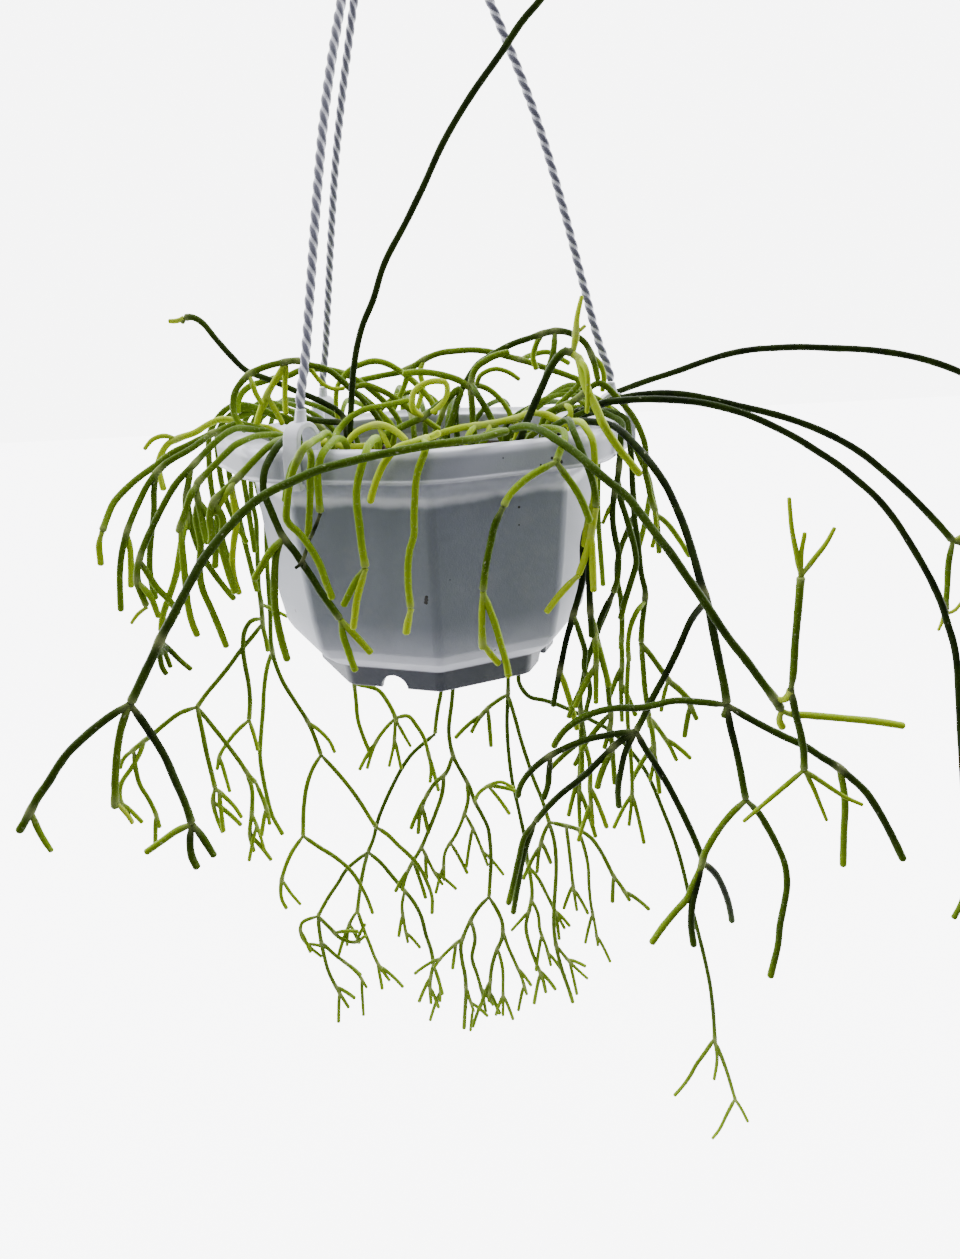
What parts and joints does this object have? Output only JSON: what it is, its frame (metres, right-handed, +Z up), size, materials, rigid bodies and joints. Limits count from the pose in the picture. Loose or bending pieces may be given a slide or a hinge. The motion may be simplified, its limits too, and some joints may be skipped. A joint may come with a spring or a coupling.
{
  "type": "potted rhipsalis",
  "caption": "Trailing jointed cactus stems in a white octagonal hanging pot with twisted cords, rim clips and a hook.",
  "frame": {"origin": "the point inside the top of the hook's bend that rests on the rail", "axes": "+Z up along the plumb line, -Y towards the side that the picture shows"},
  "size_m": [0.4825, 0.2789, 0.8065],
  "materials": {
    "pot": "moulded, fine matt",
    "hanger": "moulded, satin",
    "cord": "twisted, satin",
    "soil": "crumbly",
    "stem_old": "waxy, dark, finely bumped",
    "stem_mid": "waxy, finely bumped",
    "stem_new": "waxy, fresh, finely bumped"
  },
  "bodies": {
    "root": {"pot": "pot", "soil": "soil", "hanger_hook": "hanger", "rim_clip_right": "hanger", "rim_clip_back_left": "hanger", "rim_clip_front_left": "hanger", "hanger_cord_right": "cord", "hanger_cord_back_left": "cord", "hanger_cord_front_left": "cord", "stem_tall": "stem_old", "stem_upper_left": "stem_old", "stem_right_high": "stem_old", "stem_right_middle": "stem_old", "stem_right_low": "stem_old", "stem_right_front": "stem_mid", "stem_right_drop": "stem_old", "stem_riser": "stem_mid", "stem_left_front": "stem_old", "stem_front_left_dark": "stem_mid", "stem_front_left_green": "stem_mid", "stem_front_twig": "stem_old", "stem_front_a": "stem_mid", "stem_front_b": "stem_new", "stem_front_d": "stem_mid", "stem_left_bunch_high": "stem_old", "stem_left_bunch_low": "stem_old", "stem_left_bunch_near": "stem_old", "stem_left_bunch_front": "stem_mid", "stem_left_pale": "stem_new", "stem_back_left": "stem_mid", "stem_back_left_long": "stem_mid", "stem_back_left_centre": "stem_mid", "stem_back_centre_left": "stem_mid", "stem_back_centre_right": "stem_mid", "stem_back_right": "stem_mid", "stem_back_arc": "stem_mid", "stem_curtain_inner": "stem_mid", "stem_curtain_middle": "stem_old", "stem_curtain_outer": "stem_old", "stem_curtain_far": "stem_mid", "stem_curtain_light": "stem_mid", "stem_top_left": "stem_mid", "stem_top_left_back": "stem_mid", "stem_top_arch_low": "stem_mid", "stem_top_arch_wide": "stem_mid", "stem_top_arch_high": "stem_mid", "stem_top_loop": "stem_old", "stem_top_dark": "stem_mid", "stem_top_lime": "stem_new", "stem_top_right": "stem_mid", "stem_top_bright": "stem_new", "stem_top_back": "stem_mid", "stem_back_fill_1": "stem_mid", "stem_back_fill_2": "stem_mid", "stem_back_fill_3": "stem_mid", "stem_back_fill_4": "stem_mid"}
  },
  "joints": []
}
